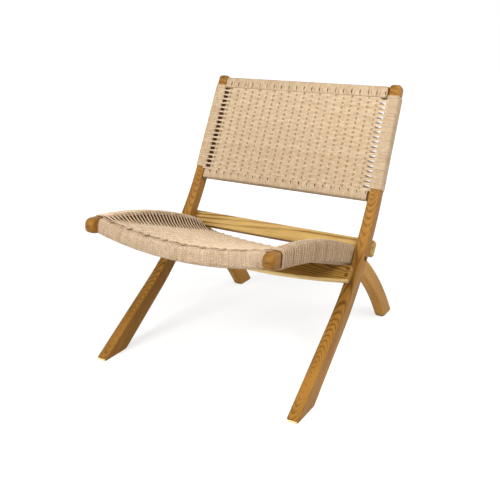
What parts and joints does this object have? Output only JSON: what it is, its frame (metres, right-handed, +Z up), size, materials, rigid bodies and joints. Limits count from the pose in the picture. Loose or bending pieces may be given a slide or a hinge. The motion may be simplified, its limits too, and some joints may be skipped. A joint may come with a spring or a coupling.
{
  "type": "folding lounge chair",
  "caption": "Armless folding lounge chair: two crossed curved wooden frames, with a dished seat and a leaning back woven from natural paper cord.",
  "frame": {"origin": "on the floor, under the middle of the chair's box", "axes": "+X to the right of someone who looks at the chair's front; +Y from the front of the seat to its back; +Z up"},
  "size_m": [0.644, 0.8042, 0.7434],
  "materials": {
    "wood": "oiled honey-coloured ash",
    "pale_wood": "oiled ash, paler piece",
    "cord": "natural twisted paper cord",
    "steel": "zinc-plated steel",
    "brass": "yellow-passivated screws and inserts"
  },
  "bodies": {
    "back_frame": {"left_stile": "wood", "right_stile": "wood", "top_back_rail": "wood", "lower_back_rail": "wood", "back_rail_dowels": "pale_wood", "left_stile_wrap": "cord", "right_stile_wrap": "cord", "top_rail_wrap": "cord", "lower_rail_wrap": "cord", "back_panel": "cord", "under_seat_board": "wood", "board_screws": "brass"},
    "seat_frame": {"left_seat_rail": "wood", "right_seat_rail": "wood", "front_seat_rail": "wood", "rear_seat_rail": "wood", "seat_rail_dowels": "pale_wood", "left_seat_wrap": "cord", "right_seat_wrap": "cord", "front_rail_wrap": "cord", "rear_rail_wrap": "cord", "seat_panel": "cord", "stop_rail": "pale_wood", "stop_rail_screws": "brass", "pivot_bolts": "steel", "pivot_washers": "steel", "pivot_inserts": "brass"}
  },
  "joints": [
    {"name": "fold", "type": "hinge", "parent": "back_frame", "child": "seat_frame", "pos_m": [0, 0.06247, 0.286], "axis": [-1, 0, 0], "range_deg": [0, 85]}
  ]
}
